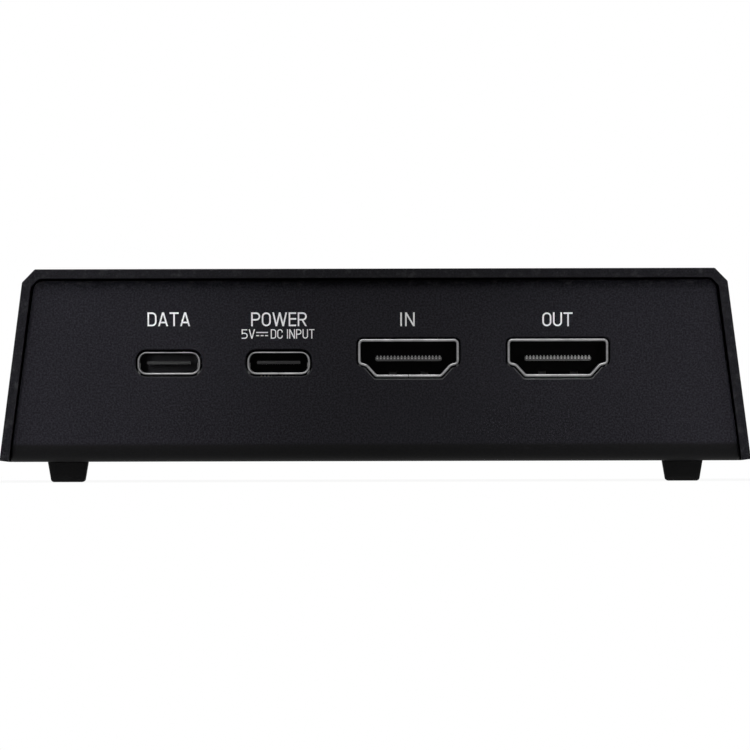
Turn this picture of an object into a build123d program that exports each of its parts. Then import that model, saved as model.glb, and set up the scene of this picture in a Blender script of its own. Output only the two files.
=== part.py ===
from build123d import *
import math
import os

# A video capture box: a bent sheet cover over a bent sheet chassis, one circuit board on standoffs, four
# sockets through the rear panel and four rubber feet. All lengths are in millimetres. The rear panel faces -Y,
# +X is to the right of someone looking at that panel, +Z is up, and the origin is midway under the box, at the
# level its feet stand on.

os.makedirs("parts", exist_ok=True)

# Case: the cover is an upside-down trough whose side walls lean inwards, with a bevel along each upper corner
case_width = 108.5  # across the cover's lower edges
wall_lean = 3.35  # how far each side wall leans in between its lower edge's level and its bevel
case_depth = 80.0
case_height = 27.8  # from the floor's underside to the cover's top
cover_sheet = 1.35
bevel_width = 1.85
bevel_height = 1.9
cover_hem_gap = 0.2  # how far the cover's lower edge stays above the floor's underside
cover_outer_radius = 0.35
cover_inner_radius = 1.0
cover_edge_radius = 0.15

# Chassis: rear panel, floor and front panel bent from one sheet, each panel with a lip turned in at its top
chassis_sheet = 1.2
panel_recess = 1.5  # from the cover's end to the panel's face
floor_bend_radius = 2.6
lip_bend_radius = 1.5
lip_depth = 6.0
lip_gap = 0.3  # between the rear panel's lip and the cover's top
panel_gap_low = 0.2  # beside the rear panel, at the floor
panel_gap_high = 0.4  # beside the rear panel, at its top
panel_corner_radius = 1.6
panel_corner_gap = 0.05  # how far above the lip the rear panel's rounded outline ends
panel_side_radius = 0.5
small_cutout_gap = 0.12  # between a small socket's rim and its opening in the rear panel
video_cutout_gap = 0.18
cutout_edge_width = 0.12

# Feet: rubber blocks with a stem and a barb pushed through the floor
foot_height = 2.92
foot_width = 5.85
foot_bottom_width = 4.85
foot_length = 12.0
rear_foot_inset = 9.9  # from the cover's lower edge at the side to the foot's middle
front_foot_inset = 9.35
foot_end_inset = 11.0  # from the cover's end
foot_edge_radius = 0.5
foot_corner_radius = 0.9
foot_stem_radius = 1.3
foot_barb_radius = 2.0
foot_barb_height = 1.6
foot_barb_tip_radius = 0.9
foot_hole_gap = 0.1

# Brackets inside the cover's walls, and the countersunk screws that enter them from below
bracket_sheet = 1.6
bracket_bend_radius = 2.0
bracket_leg = 7.0
bracket_height = 7.5
bracket_end_gap = 19.0  # from the cover's end to the bracket's
cover_screw_inset = 6.0  # from the bracket's end
cover_screw_head_radius = 2.2
cover_screw_head_height = 1.0
cover_screw_radius = 1.2
cover_screw_length = 4.0
cover_screw_sink_depth = 0.05  # how far the head lies inside the floor's underside
cover_screw_head_gap = 0.1
screw_hole_gap = 0.2
thread_gap = 0.04
drive_width = 1.5  # across the flats of a screw's hexagonal recess
drive_depth = 0.7

# Circuit board, the standoffs that carry it and their screws
board_sheet = 1.6
board_side_gap = 2.34  # between the cover's wall and the board's upper edge
board_rear_gap = 0.8  # between the rear panel and the board
board_front_gap = 2.8
board_corner_radius = 1.5
standoff_height = 9.28
standoff_width = 5.0
standoff_spigot_radius = 2.1
standoff_fit_gap = 0.03
standoff_bevel_width = 0.3
standoff_side_inset = 7.5  # from the board's side edge
standoff_rear_inset = 16.5  # from the board's rear edge
standoff_front_inset = 13.5
board_screw_radius = 1.2
board_screw_length = 5.0
board_screw_head_radius = 2.4
board_screw_head_height = 1.5
board_screw_edge_radius = 0.5

# Sockets: where each one's middle lies across the rear panel, as a share of the case's width from its middle
data_place_share = -0.2742
power_place_share = -0.1281
video_in_place_share = 0.0446
video_out_place_share = 0.2433
socket_sheet = 0.33
socket_flare_width = 0.13  # how much the mouth's rim stands out beyond the shell
socket_flare_depth = 0.8
socket_rim_radius = 0.12
leg_width = 1.2
leg_length = 0.8  # below the board
leg_gap = 0.12
insulator_gap = 0.03
block_overhang_length = 0.3  # how far an insulator's block stands out behind its shell
tail_gap = 0.1
tail_foot_length = 0.7

# Video socket: a box-like mouth whose lower corners step in and slant
video_mouth_width = 13.75
video_mouth_height = 4.68
video_side_height = 1.77  # where the upright side ends
video_step_inset = 0.97
video_step_height = 1.475
video_floor_width = 9.15
video_corner_radius = 0.3
video_depth = 11.5
video_mouth_depth = 7.4
video_lift_height = 0.12  # between the board and the shell
video_tongue_width = 9.6
video_tongue_sheet = 0.8
video_tongue_height = 1.92  # above the mouth's floor
video_tongue_inset = 1.0
video_contact_spacing = 1.0
video_contact_width = 0.45
video_contact_sheet = 0.14
video_upper_contacts = 10
video_lower_contacts = 9
video_rib_width = 0.3
video_rib_height = 0.1
finger_spacing = 4.6
finger_width = 1.1
finger_inset = 1.6
finger_length = 4.4
finger_height = 0.3

# Data and power sockets: one small rounded pattern for both
small_mouth_width = 8.4
small_mouth_height = 2.75
small_mouth_radius = 1.0
small_depth = 7.6
small_mouth_depth = 6.0
small_lift_height = 0.45
small_tongue_width = 6.25
small_tongue_sheet = 0.5
small_tongue_inset = 0.7
small_contact_spacing = 0.5
small_contact_width = 0.24
small_contact_sheet = 0.07
small_contacts = 12

# Parts soldered to the board
chip_bevel_width = 0.12
chip_mark_radius = 0.4
chip_mark_depth = 0.06
part_gap = 2.2  # the usual space between neighbours on the board
processor_x = 2.0
processor_width = 17.0
processor_height = 0.6
processor_cap_inset = 1.0
processor_cap_height = 0.7
pad_sheet = 0.5
sink_width = 24.0
sink_base = 1.6
sink_height = 7.0
sink_fins = 7
sink_fin_sheet = 1.1
sink_edge_width = 0.2
memory_width = 9.0
memory_depth = 13.0
memory_height = 1.0
receiver_width = 9.0
receiver_height = 0.9
transmitter_width = 8.0
transmitter_height = 0.9
bridge_width = 8.0
bridge_height = 0.9
flash_width = 5.2
flash_depth = 4.0
flash_height = 1.5
regulator_width = 4.0
regulator_height = 0.9
core_inductor_width = 7.0
core_inductor_height = 3.0
io_inductor_width = 4.2
io_inductor_height = 2.0
inductor_corner_radius = 0.7
capacitor_radius = 3.15
capacitor_base_width = 6.8
capacitor_base_height = 1.0
capacitor_height = 5.8
capacitor_edge_radius = 0.4
capacitor_bevel_width = 1.4
crystal_width = 3.2
crystal_depth = 2.5
crystal_height = 0.5
crystal_lid_inset = 0.25
crystal_lid_height = 0.25
fuse_width = 1.7
fuse_depth = 3.2
fuse_height = 0.7
diode_width = 2.6
diode_depth = 4.2
diode_height = 2.2
protection_width = 9.5
protection_depth = 1.2
protection_height = 0.55
passive_length = 1.0
passive_width = 0.5
passive_height = 0.5
passive_spacing = 1.9
passive_row_gap = 0.8

# Status light at the front edge of the board, and the clear pipe that carries its glow to the front panel
light_width = 1.6
light_depth = 1.2
light_height = 1.1
light_gap = 0.2
pipe_width = 8.0
pipe_height = 1.2
pipe_lift_height = 0.15  # above the board
pipe_flange_width = 10.0
pipe_flange_height = 3.4
pipe_flange_sheet = 0.8
pipe_fit_gap = 0.04

overrun_length = 1.0  # how far a cut reaches past what it cuts

# Levels and faces that the pieces share
floor_under = foot_height
floor_top = floor_under + chassis_sheet
board_under = floor_top + standoff_height
board_top = board_under + board_sheet
cover_top = floor_under + case_height
shoulder_z = cover_top - bevel_height
rear_lip_top = cover_top - cover_sheet - lip_gap
front_lip_top = cover_top - cover_sheet
panel_y = case_depth / 2 - panel_recess
panel_inside_y = panel_y - chassis_sheet
wall_slope = wall_lean / (shoulder_z - floor_under)
shoulder_x = case_width / 2 - wall_lean
wall_across = cover_sheet / math.cos(math.atan(wall_slope))
rear_face = Plane.XZ.offset(panel_y)


def cover_outside(z):
    """Half the cover's outer width at the height z."""
    return case_width / 2 - wall_slope * (z - floor_under)


def cover_inside(z):
    """Half the room between the cover's walls at the height z."""
    return cover_outside(z) - wall_across


def video_mouth(grow):
    """A video socket's mouth, with its floor's middle at the origin, grown outwards by the given amount."""
    floor_half = video_floor_width / 2
    side_half = video_mouth_width / 2
    step_half = side_half - video_step_inset
    with BuildSketch() as mouth:
        with BuildLine():
            Polyline(
                (floor_half, 0),
                (step_half, video_step_height),
                (side_half, video_side_height),
                (side_half, video_mouth_height),
                (-side_half, video_mouth_height),
                (-side_half, video_side_height),
                (-step_half, video_step_height),
                (-floor_half, 0),
                close=True,
            )
        make_face()
        if grow:
            offset(amount=grow, kind=Kind.INTERSECTION)
        floor_ends, steps, side_ends, top_ends = mouth.vertices().group_by(Axis.Y)
        fillet(floor_ends + side_ends + top_ends, max(video_corner_radius + grow, video_corner_radius / 2))
        fillet(mouth.vertices().sort_by_distance(steps[0])[0], video_corner_radius)
        fillet(mouth.vertices().sort_by_distance(steps[1])[0], video_corner_radius)
    return mouth.sketch


def small_mouth(grow):
    """A small socket's mouth, with its floor's middle at the origin, grown outwards by the given amount."""
    with BuildSketch() as mouth:
        with Locations((0, small_mouth_height / 2)):
            RectangleRounded(
                small_mouth_width + 2 * grow, small_mouth_height + 2 * grow, small_mouth_radius + grow
            )
    return mouth.sketch


data_x = data_place_share * case_width
power_x = power_place_share * case_width
video_in_x = video_in_place_share * case_width
video_out_x = video_out_place_share * case_width
video_floor_z = board_top + video_lift_height + socket_sheet
small_floor_z = board_top + small_lift_height + socket_sheet
socket_places = (
    (data_x, small_floor_z, small_mouth),
    (power_x, small_floor_z, small_mouth),
    (video_in_x, video_floor_z, video_mouth),
    (video_out_x, video_floor_z, video_mouth),
)

# Holes that the floor, the board and the fasteners share
board_width = 2 * (cover_inside(board_top) - board_side_gap)
board_rear_y = board_rear_gap - panel_inside_y
board_front_y = panel_inside_y - board_front_gap
board_depth = board_front_y - board_rear_y
board_y = (board_front_y + board_rear_y) / 2
standoff_x = board_width / 2 - standoff_side_inset
standoff_rear_y = board_rear_y + standoff_rear_inset
standoff_front_y = board_front_y - standoff_front_inset
standoff_places = [(hand * standoff_x, y) for hand in (-1, 1) for y in (standoff_rear_y, standoff_front_y)]
rear_foot_x = case_width / 2 - rear_foot_inset
front_foot_x = case_width / 2 - front_foot_inset
foot_y = case_depth / 2 - foot_end_inset
foot_places = {
    "rear_left": (-rear_foot_x, -foot_y),
    "rear_right": (rear_foot_x, -foot_y),
    "front_left": (-front_foot_x, foot_y),
    "front_right": (front_foot_x, foot_y),
}
cover_screw_x = cover_inside(floor_top) - bracket_sheet - (bracket_leg - bracket_sheet) / 2
bracket_length = case_depth - 2 * bracket_end_gap
cover_screw_spacing = bracket_length - 2 * cover_screw_inset
cover_screw_grid = GridLocations(2 * cover_screw_x, cover_screw_spacing, 2, 2)

# Cover
cover_hem_z = floor_under + cover_hem_gap
cover_points = (
    (-cover_outside(cover_hem_z), cover_hem_z),
    (-shoulder_x, shoulder_z),
    (bevel_width - shoulder_x, cover_top),
    (shoulder_x - bevel_width, cover_top),
    (shoulder_x, shoulder_z),
    (cover_outside(cover_hem_z), cover_hem_z),
)
with BuildPart() as top_cover:
    with BuildSketch(Plane.XZ) as cover_section:
        with BuildLine():
            cover_line = Polyline(*cover_points)
            offset(cover_line, amount=cover_sheet, side=Side.RIGHT, kind=Kind.INTERSECTION)
        make_face()
        corners = [v for v in cover_section.vertices() if v.Y > floor_under + case_height / 2]
        outer_corners = [
            v
            for v in corners
            if v.Y > cover_top - cover_sheet / 2 or abs(v.X) > cover_outside(v.Y) - cover_sheet / 2
        ]
        fillet(outer_corners, cover_outer_radius)
        corners = [v for v in cover_section.vertices() if v.Y > floor_under + case_height / 2]
        inner_corners = [
            v
            for v in corners
            if v.Y < cover_top - cover_sheet / 2 and abs(v.X) < cover_outside(v.Y) - cover_sheet / 2
        ]
        fillet(inner_corners, cover_inner_radius)
    extrude(amount=case_depth / 2, both=True)
    fillet(top_cover.faces().filter_by(Axis.Y).edges(), cover_edge_radius)
top_cover.part.label = "top_cover"
export_step(top_cover.part, "parts/top_cover.step")

# Chassis: bent from one strip. All along it is trimmed to the cover's inner faces, which it touches face to face,
# and round its rear end it is trimmed further.
outline_low_z = floor_under - overrun_length
outline_high_z = rear_lip_top + panel_corner_gap
panel_low_half = cover_inside(outline_low_z) - panel_gap_low
panel_high_half = cover_inside(outline_high_z) - panel_gap_high
window_z = board_top + pipe_lift_height + pipe_height / 2
close_low_z = outline_low_z - cover_sheet
with BuildSketch() as close_outline:
    with BuildLine():
        Polyline(
            (-cover_outside(close_low_z), close_low_z),
            *cover_points[1:-1],
            (cover_outside(close_low_z), close_low_z),
            close=True,
        )
    make_face()
    offset(amount=-cover_sheet, kind=Kind.INTERSECTION)
    fillet(close_outline.vertices().group_by(Axis.Y)[-1], cover_inner_radius)
    fillet(close_outline.vertices().group_by(Axis.Y)[1], cover_inner_radius)
with BuildSketch() as panel_outline:
    with BuildLine():
        Polyline(
            (-panel_low_half, outline_low_z),
            (-panel_high_half, outline_high_z),
            (panel_high_half, outline_high_z),
            (panel_low_half, outline_low_z),
            close=True,
        )
    make_face()
    fillet(panel_outline.vertices().group_by(Axis.Y)[-1], panel_corner_radius)
with BuildPart() as chassis:
    with BuildSketch(Plane.YZ):
        with BuildLine():
            chassis_line = FilletPolyline(
                (lip_depth - panel_y, rear_lip_top),
                (-panel_y, rear_lip_top),
                (-panel_y, floor_under),
                (panel_y, floor_under),
                (panel_y, front_lip_top),
                (panel_y - lip_depth, front_lip_top),
                radius=[lip_bend_radius, floor_bend_radius, floor_bend_radius, lip_bend_radius],
            )
            offset(chassis_line, amount=chassis_sheet, side=Side.LEFT)
        make_face()
    extrude(amount=case_width / 2, both=True)
    with BuildSketch(rear_face.offset(overrun_length)):
        add(close_outline.sketch)
    extrude(amount=-2 * (panel_y + overrun_length), mode=Mode.INTERSECT)
    with BuildSketch(rear_face.offset(overrun_length)):
        with Locations((0, floor_under + case_height / 2)):
            Rectangle(case_width, 2 * case_height)
        add(panel_outline.sketch, mode=Mode.SUBTRACT)
    extrude(amount=-(lip_depth + overrun_length), mode=Mode.SUBTRACT)
    rear_flat = chassis.faces().sort_by(Axis.Y)[0]
    fillet(rear_flat.edges().sort_by(Axis.X)[0], panel_side_radius)
    rear_flat = chassis.faces().sort_by(Axis.Y)[0]
    fillet(rear_flat.edges().sort_by(Axis.X)[-1], panel_side_radius)
    for socket_x, socket_floor_z, mouth in socket_places:
        cutout_gap = video_cutout_gap if mouth == video_mouth else small_cutout_gap
        with BuildSketch(rear_face):
            with Locations((socket_x, socket_floor_z)):
                add(mouth(socket_sheet + socket_flare_width + cutout_gap))
        extrude(amount=-(chassis_sheet + overrun_length), mode=Mode.SUBTRACT)
    panel_face = chassis.faces().sort_by(Axis.Y)[0]
    chamfer(panel_face.edges() - panel_face.outer_wire().edges(), cutout_edge_width)
    with BuildSketch(Plane.XZ.offset(-panel_y)):
        with Locations((0, window_z)):
            Rectangle(pipe_width + 2 * pipe_fit_gap, pipe_height + 2 * pipe_fit_gap)
    extrude(amount=chassis_sheet + overrun_length, mode=Mode.SUBTRACT)
    with BuildSketch(Plane.XY.offset(floor_under)):
        with Locations(*standoff_places):
            Circle(standoff_spigot_radius + standoff_fit_gap)
        with Locations(*foot_places.values()):
            Circle(foot_stem_radius + foot_hole_gap)
    extrude(amount=chassis_sheet, mode=Mode.SUBTRACT)
    with Locations(Plane(origin=(0, 0, floor_under), x_dir=(1, 0, 0), z_dir=(0, 0, -1))):
        with GridLocations(2 * cover_screw_x, cover_screw_spacing, 2, 2):
            CounterSinkHole(
                cover_screw_radius + screw_hole_gap,
                cover_screw_head_radius + cover_screw_head_gap,
                chassis_sheet + overrun_length,
                90,
            )
chassis.part.label = "chassis"
export_step(chassis.part, "parts/chassis.step")

# Cover brackets: angles fixed inside the cover's side walls, with tapped holes in the leg on the floor
bracket_top = floor_top + bracket_height
with BuildPart() as cover_bracket_right:
    with BuildSketch(Plane.XZ):
        with BuildLine():
            bracket_line = FilletPolyline(
                (cover_inside(bracket_top), bracket_top),
                (cover_inside(floor_top), floor_top),
                (cover_inside(floor_top) - bracket_leg, floor_top),
                radius=bracket_bend_radius,
            )
            offset(bracket_line, amount=bracket_sheet, side=Side.RIGHT)
        make_face()
    extrude(amount=bracket_length / 2, both=True)
    with BuildSketch(Plane.XY.offset(floor_top)):
        with Locations((cover_screw_x, -cover_screw_spacing / 2), (cover_screw_x, cover_screw_spacing / 2)):
            Circle(cover_screw_radius + thread_gap)
    extrude(amount=bracket_sheet + overrun_length, mode=Mode.SUBTRACT)
cover_bracket_right.part.label = "cover_bracket_right"
export_step(cover_bracket_right.part, "parts/cover_bracket_right.step")

with BuildPart() as cover_bracket_left:
    mirror(cover_bracket_right.part, about=Plane.YZ)
cover_bracket_left.part.label = "cover_bracket_left"
export_step(cover_bracket_left.part, "parts/cover_bracket_left.step")

# Cover screws: countersunk, driven up through the floor
cover_screw_base = floor_under + cover_screw_sink_depth
with BuildPart() as cover_screws:
    with BuildSketch(Plane.XY.offset(cover_screw_base)):
        with cover_screw_grid:
            Circle(cover_screw_head_radius)
    extrude(amount=cover_screw_head_height, taper=45)
    with BuildSketch(Plane.XY.offset(cover_screw_base)):
        with cover_screw_grid:
            Circle(cover_screw_radius)
    extrude(amount=cover_screw_length)
    with BuildSketch(Plane.XY.offset(cover_screw_base)):
        with cover_screw_grid:
            RegularPolygon(drive_width / 2, 6, major_radius=False)
    extrude(amount=drive_depth, mode=Mode.SUBTRACT)
cover_screws.part.label = "cover_screws"
export_step(cover_screws.part, "parts/cover_screws.step")

# Feet
foot_taper = math.degrees(math.atan((foot_width - foot_bottom_width) / 2 / foot_height))
for corner, place in foot_places.items():
    with BuildPart() as foot:
        with BuildSketch(Plane(origin=(*place, floor_under), x_dir=(1, 0, 0), z_dir=(0, 0, -1))):
            RectangleRounded(foot_width, foot_length, foot_corner_radius)
        extrude(amount=foot_height, taper=foot_taper)
        fillet(foot.faces().sort_by(Axis.Z)[0].edges(), foot_edge_radius)
        with BuildSketch(Plane(origin=(*place, floor_under))):
            Circle(foot_stem_radius)
        extrude(amount=chassis_sheet + foot_hole_gap)
        with BuildSketch(Plane(origin=(*place, floor_top + foot_hole_gap))):
            Circle(foot_barb_radius)
        with BuildSketch(Plane(origin=(*place, floor_top + foot_hole_gap + foot_barb_height))):
            Circle(foot_barb_tip_radius)
        loft()
    foot.part.label = f"foot_{corner}"
    export_step(foot.part, f"parts/foot_{corner}.step")

# Standoffs: hexagonal, each with a spigot pressed into the floor and a tapped bore
with BuildPart() as board_standoffs:
    with BuildSketch(Plane.XY.offset(floor_top)):
        with Locations(*standoff_places):
            RegularPolygon(standoff_width / 2, 6, major_radius=False)
    extrude(amount=standoff_height)
    chamfer(board_standoffs.faces().group_by(Axis.Z)[-1].edges(), standoff_bevel_width)
    with BuildSketch(Plane.XY.offset(floor_under)):
        with Locations(*standoff_places):
            Circle(standoff_spigot_radius)
    extrude(amount=chassis_sheet)
    with BuildSketch(Plane.XY.offset(floor_top)):
        with Locations(*standoff_places):
            Circle(board_screw_radius + thread_gap)
    extrude(amount=standoff_height, mode=Mode.SUBTRACT)
board_standoffs.part.label = "board_standoffs"
export_step(board_standoffs.part, "parts/board_standoffs.step")

# Board screws: round heads on the board, threaded into the standoffs
with BuildPart() as board_screws:
    with BuildSketch(Plane.XY.offset(board_top)):
        with Locations(*standoff_places):
            Circle(board_screw_head_radius)
    extrude(amount=board_screw_head_height)
    fillet(board_screws.faces().group_by(Axis.Z)[-1].edges(), board_screw_edge_radius)
    with BuildSketch(Plane.XY.offset(board_top + board_screw_head_height)):
        with Locations(*standoff_places):
            RegularPolygon(drive_width / 2, 6, major_radius=False)
    extrude(amount=-drive_depth, mode=Mode.SUBTRACT)
    with BuildSketch(Plane.XY.offset(board_top)):
        with Locations(*standoff_places):
            Circle(board_screw_radius)
    extrude(amount=-board_screw_length)
board_screws.part.label = "board_screws"
export_step(board_screws.part, "parts/board_screws.step")


def leg_places(socket_x, mouth_width, depth):
    """Middles of a socket's four solder legs: in its side walls, a quarter of its depth from either end."""
    half = (mouth_width + socket_sheet) / 2
    return [
        (socket_x + hand * half, depth * share - panel_y)
        for hand in (-1, 1)
        for share in (0.25, 0.75)
    ]


# Board
all_leg_places = (
    leg_places(data_x, small_mouth_width, small_depth)
    + leg_places(power_x, small_mouth_width, small_depth)
    + leg_places(video_in_x, video_mouth_width, video_depth)
    + leg_places(video_out_x, video_mouth_width, video_depth)
)
with BuildPart() as main_board:
    with BuildSketch(Plane.XY.offset(board_under)):
        with Locations((0, board_y)):
            RectangleRounded(board_width, board_depth, board_corner_radius)
        with Locations(*standoff_places):
            Circle(board_screw_radius + screw_hole_gap, mode=Mode.SUBTRACT)
        with Locations(*all_leg_places):
            Rectangle(socket_sheet + 2 * leg_gap, leg_width + 2 * leg_gap, mode=Mode.SUBTRACT)
    extrude(amount=board_sheet)
main_board.part.label = "main_board"
export_step(main_board.part, "parts/main_board.step")


def contact_row(socket_x, count, spacing, width, sheet, tip_y, strip_z, tail_y):
    """A row of bent contacts: a strip back along the tongue, a drop to the board and a foot turned back."""
    with BuildPart() as row:
        for place in range(count):
            middle = socket_x + (place - (count - 1) / 2) * spacing
            with BuildSketch(Plane.YZ.offset(middle)):
                with BuildLine():
                    Polyline(
                        (tip_y, strip_z),
                        (tail_y, strip_z),
                        (tail_y, board_top),
                        (tail_y + tail_foot_length, board_top),
                        (tail_y + tail_foot_length, board_top + sheet),
                        (tail_y + sheet, board_top + sheet),
                        (tail_y + sheet, strip_z + sheet),
                        (tip_y, strip_z + sheet),
                        close=True,
                    )
                make_face()
            extrude(amount=width / 2, both=True)
    return row.part


def socket(name, socket_x, floor_z, mouth, size, tongue, contacts):
    """Writes a socket's shell, insulator and contacts. The groups of sizes are unpacked in the first lines."""
    mouth_width, mouth_height, depth, mouth_depth = size
    tongue_width, tongue_sheet, tongue_z, tongue_inset, rib_width, rib_height = tongue
    upper_count, lower_count, spacing, contact_width, contact_sheet = contacts
    block_front_y = mouth_depth - panel_y
    block_rear_y = depth + block_overhang_length - panel_y
    tongue_tip_y = tongue_inset - panel_y
    lower_tail_y = block_rear_y + tail_gap
    upper_tail_y = lower_tail_y + tail_foot_length + tail_gap

    with BuildPart() as socket_contacts:
        add(
            contact_row(
                socket_x, upper_count, spacing, contact_width, contact_sheet,
                tongue_tip_y + contact_sheet, tongue_z + tongue_sheet - contact_sheet, upper_tail_y,
            )
        )
        add(
            contact_row(
                socket_x, lower_count, spacing, contact_width, contact_sheet,
                tongue_tip_y + contact_sheet, tongue_z, lower_tail_y,
            )
        )
    socket_contacts.part.label = f"{name}_contacts"
    export_step(socket_contacts.part, f"parts/{name}_contacts.step")

    with BuildPart() as insulator:
        with BuildSketch(rear_face.offset(-mouth_depth)):
            with Locations((socket_x, floor_z)):
                add(mouth(-insulator_gap))
        extrude(amount=-(depth + block_overhang_length - mouth_depth))
        with BuildSketch(Plane.XY.offset(tongue_z)):
            with Locations((socket_x, (tongue_tip_y + block_front_y) / 2)):
                Rectangle(tongue_width, block_front_y - tongue_tip_y)
        extrude(amount=tongue_sheet)
        if rib_width:
            with BuildSketch(Plane.XY.offset(tongue_z + tongue_sheet)):
                with Locations((socket_x, (tongue_tip_y + block_front_y) / 2)):
                    with GridLocations(spacing, spacing, upper_count - 1, 1):
                        Rectangle(rib_width, block_front_y - tongue_tip_y)
            extrude(amount=rib_height)
        add(socket_contacts.part, mode=Mode.SUBTRACT)
    insulator.part.label = f"{name}_insulator"
    export_step(insulator.part, f"parts/{name}_insulator.step")

    with BuildPart() as shell:
        with BuildSketch(rear_face):
            with Locations((socket_x, floor_z)):
                add(mouth(socket_sheet + socket_flare_width))
        extrude(amount=-socket_flare_depth)
        fillet(shell.faces().sort_by(Axis.Y)[0].edges(), socket_rim_radius)
        with BuildSketch(rear_face.offset(-socket_flare_depth)):
            with Locations((socket_x, floor_z)):
                add(mouth(socket_sheet))
        extrude(amount=-(depth - socket_flare_depth))
        with BuildSketch(Plane.XY.offset(board_under - leg_length)):
            with Locations(*leg_places(socket_x, mouth_width, depth)):
                Rectangle(socket_sheet, leg_width)
        extrude(amount=floor_z + mouth_height / 2 - board_under + leg_length)
        with BuildSketch(rear_face):
            with Locations((socket_x, floor_z)):
                add(mouth(0))
        extrude(amount=-depth, mode=Mode.SUBTRACT)
        fillet(shell.faces().sort_by(Axis.Y)[0].inner_wires()[0].edges(), socket_rim_radius)
        if mouth == video_mouth:
            for hand in (-1, 1):
                with BuildSketch(Plane.YZ.offset(socket_x + hand * finger_spacing / 2)):
                    with BuildLine():
                        Polyline(
                            (finger_inset - panel_y, floor_z),
                            (finger_inset + finger_length / 3 - panel_y, floor_z + finger_height),
                            (finger_inset + finger_length - panel_y, floor_z),
                            close=True,
                        )
                    make_face()
                extrude(amount=finger_width / 2, both=True)
    shell.part.label = f"{name}_shell"
    export_step(shell.part, f"parts/{name}_shell.step")


video_size = (video_mouth_width, video_mouth_height, video_depth, video_mouth_depth)
video_tongue = (
    video_tongue_width,
    video_tongue_sheet,
    video_floor_z + video_tongue_height,
    video_tongue_inset,
    video_rib_width,
    video_rib_height,
)
video_contacts = (
    video_upper_contacts,
    video_lower_contacts,
    video_contact_spacing,
    video_contact_width,
    video_contact_sheet,
)
small_size = (small_mouth_width, small_mouth_height, small_depth, small_mouth_depth)
small_tongue = (
    small_tongue_width,
    small_tongue_sheet,
    small_floor_z + (small_mouth_height - small_tongue_sheet) / 2,
    small_tongue_inset,
    0,
    0,
)
small_contact_sizes = (
    small_contacts,
    small_contacts,
    small_contact_spacing,
    small_contact_width,
    small_contact_sheet,
)
socket("data", data_x, small_floor_z, small_mouth, small_size, small_tongue, small_contact_sizes)
socket("power", power_x, small_floor_z, small_mouth, small_size, small_tongue, small_contact_sizes)
socket("video_in", video_in_x, video_floor_z, video_mouth, video_size, video_tongue, video_contacts)
socket("video_out", video_out_x, video_floor_z, video_mouth, video_size, video_tongue, video_contacts)


def flat_chip(name, middle, width, depth, height):
    """Writes a moulded chip with bevelled upper edges and a round mark at its first corner."""
    mark_inset = 2.5 * chip_mark_radius
    with BuildPart() as chip:
        with BuildSketch(Plane.XY.offset(board_top)):
            with Locations(middle):
                Rectangle(width, depth)
        extrude(amount=height)
        chamfer(chip.faces().sort_by(Axis.Z)[-1].edges(), chip_bevel_width)
        with BuildSketch(Plane.XY.offset(board_top + height)):
            with Locations((middle[0] + mark_inset - width / 2, middle[1] + depth / 2 - mark_inset)):
                Circle(chip_mark_radius)
        extrude(amount=-chip_mark_depth, mode=Mode.SUBTRACT)
    chip.part.label = name
    export_step(chip.part, f"parts/{name}.step")


# Rows on the board, each behind the one before it: solder tails, protection parts, resistors, chips, heat sink
video_tail_y = video_depth + block_overhang_length + 2 * (tail_gap + tail_foot_length) - panel_y
small_tail_y = small_depth + block_overhang_length + 2 * (tail_gap + tail_foot_length) - panel_y
protection_y = video_tail_y + passive_row_gap + protection_depth / 2
resistor_y = protection_y + protection_depth / 2 + passive_row_gap + passive_length / 2
chip_rear_y = resistor_y + passive_length / 2 + passive_row_gap
chip_front_y = chip_rear_y + max(receiver_width, transmitter_width)
processor_y = chip_front_y + part_gap + sink_width / 2

# Capture processor: a thin carrier with a moulded cap, then its heat pad and its finned heat sink
processor_top = board_top + processor_height + processor_cap_height
cap_width = processor_width - 2 * processor_cap_inset
with BuildPart() as capture_processor:
    with BuildSketch(Plane.XY.offset(board_top)):
        with Locations((processor_x, processor_y)):
            Rectangle(processor_width, processor_width)
    extrude(amount=processor_height)
    with BuildSketch(Plane.XY.offset(board_top + processor_height)):
        with Locations((processor_x, processor_y)):
            Rectangle(cap_width, cap_width)
    extrude(amount=processor_cap_height)
    chamfer(capture_processor.faces().sort_by(Axis.Z)[-1].edges(), chip_bevel_width)
capture_processor.part.label = "capture_processor"
export_step(capture_processor.part, "parts/capture_processor.step")

with BuildPart() as thermal_pad:
    with BuildSketch(Plane.XY.offset(processor_top)):
        with Locations((processor_x, processor_y)):
            Rectangle(cap_width, cap_width)
    extrude(amount=pad_sheet)
thermal_pad.part.label = "thermal_pad"
export_step(thermal_pad.part, "parts/thermal_pad.step")

sink_under = processor_top + pad_sheet
fin_spacing = (sink_width - sink_fin_sheet) / (sink_fins - 1)
with BuildPart() as heat_sink:
    with BuildSketch(Plane.XY.offset(sink_under)):
        with Locations((processor_x, processor_y)):
            Rectangle(sink_width, sink_width)
    extrude(amount=sink_base)
    with BuildSketch(Plane.XY.offset(sink_under + sink_base)):
        with Locations((processor_x, processor_y)):
            with GridLocations(fin_spacing, sink_width, sink_fins, 1):
                Rectangle(sink_fin_sheet, sink_width)
    extrude(amount=sink_height - sink_base)
    chamfer(heat_sink.faces().group_by(Axis.Z)[-1].edges(), sink_edge_width)
heat_sink.part.label = "heat_sink"
export_step(heat_sink.part, "parts/heat_sink.step")

# Chips around the processor and behind the sockets
sink_edge_x = sink_width / 2 + part_gap
memory_x = processor_x + sink_edge_x + memory_width / 2
memory_y_step = (memory_depth + part_gap) / 2
for name, end in (("memory_chip_rear", -1), ("memory_chip_front", 1)):
    middle = (memory_x, processor_y + end * memory_y_step)
    flat_chip(name, middle, memory_width, memory_depth, memory_height)

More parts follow.
